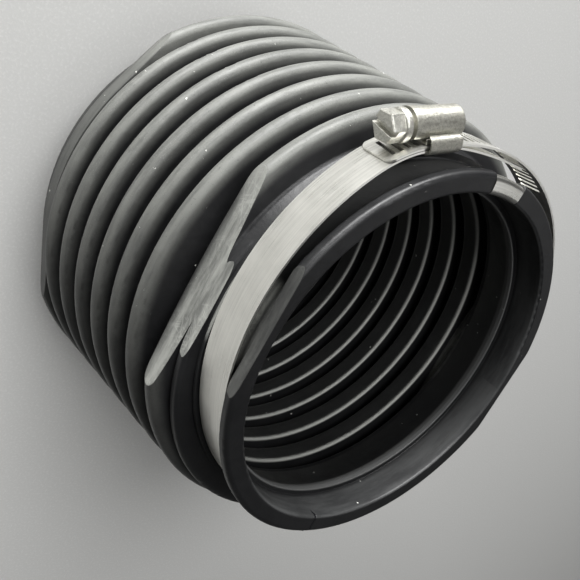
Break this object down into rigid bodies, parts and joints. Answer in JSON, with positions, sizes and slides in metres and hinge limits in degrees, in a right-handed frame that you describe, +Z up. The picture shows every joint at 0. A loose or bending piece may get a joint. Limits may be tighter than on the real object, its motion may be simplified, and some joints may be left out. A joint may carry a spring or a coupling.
{
  "type": "rubber bellows boot",
  "caption": "Corrugated rubber bellows boot, open at both ends, with moulded flats, a loose worm-drive band clamp at its mouth and a sheet-metal grounding clip on the lip.",
  "frame": {"origin": "centre of the rear bore on the rear face, which the boot stands on", "axes": "+Z up along the boot's axis towards the clamp-end mouth; the moulded flats face +X and -X; the ground clip is near -Y"},
  "size_m": [0.1578, 0.159, 0.1423],
  "materials": {
    "boot_rubber": "moulded black rubber, slightly dusty, scuffed grey on the flats",
    "band_steel": "bright rolled stainless strip",
    "housing_steel": "bright pressed stainless sheet",
    "screw_steel": "bright turned stainless",
    "clip_steel": "stainless sheet brushed along the rim"
  },
  "bodies": {
    "boot": {"bellows_boot": "boot_rubber", "clamp_band": "band_steel", "clamp_saddle": "band_steel", "screw_housing": "housing_steel", "ground_clip": "clip_steel"},
    "screw": {"worm_screw": "screw_steel"}
  },
  "joints": [
    {"name": "screw_spin", "type": "hinge", "parent": "boot", "child": "screw", "pos_m": [0.03727, -0.06652, 0.13135], "axis": [0.9041, 0.4274, 0], "continuous": true}
  ]
}
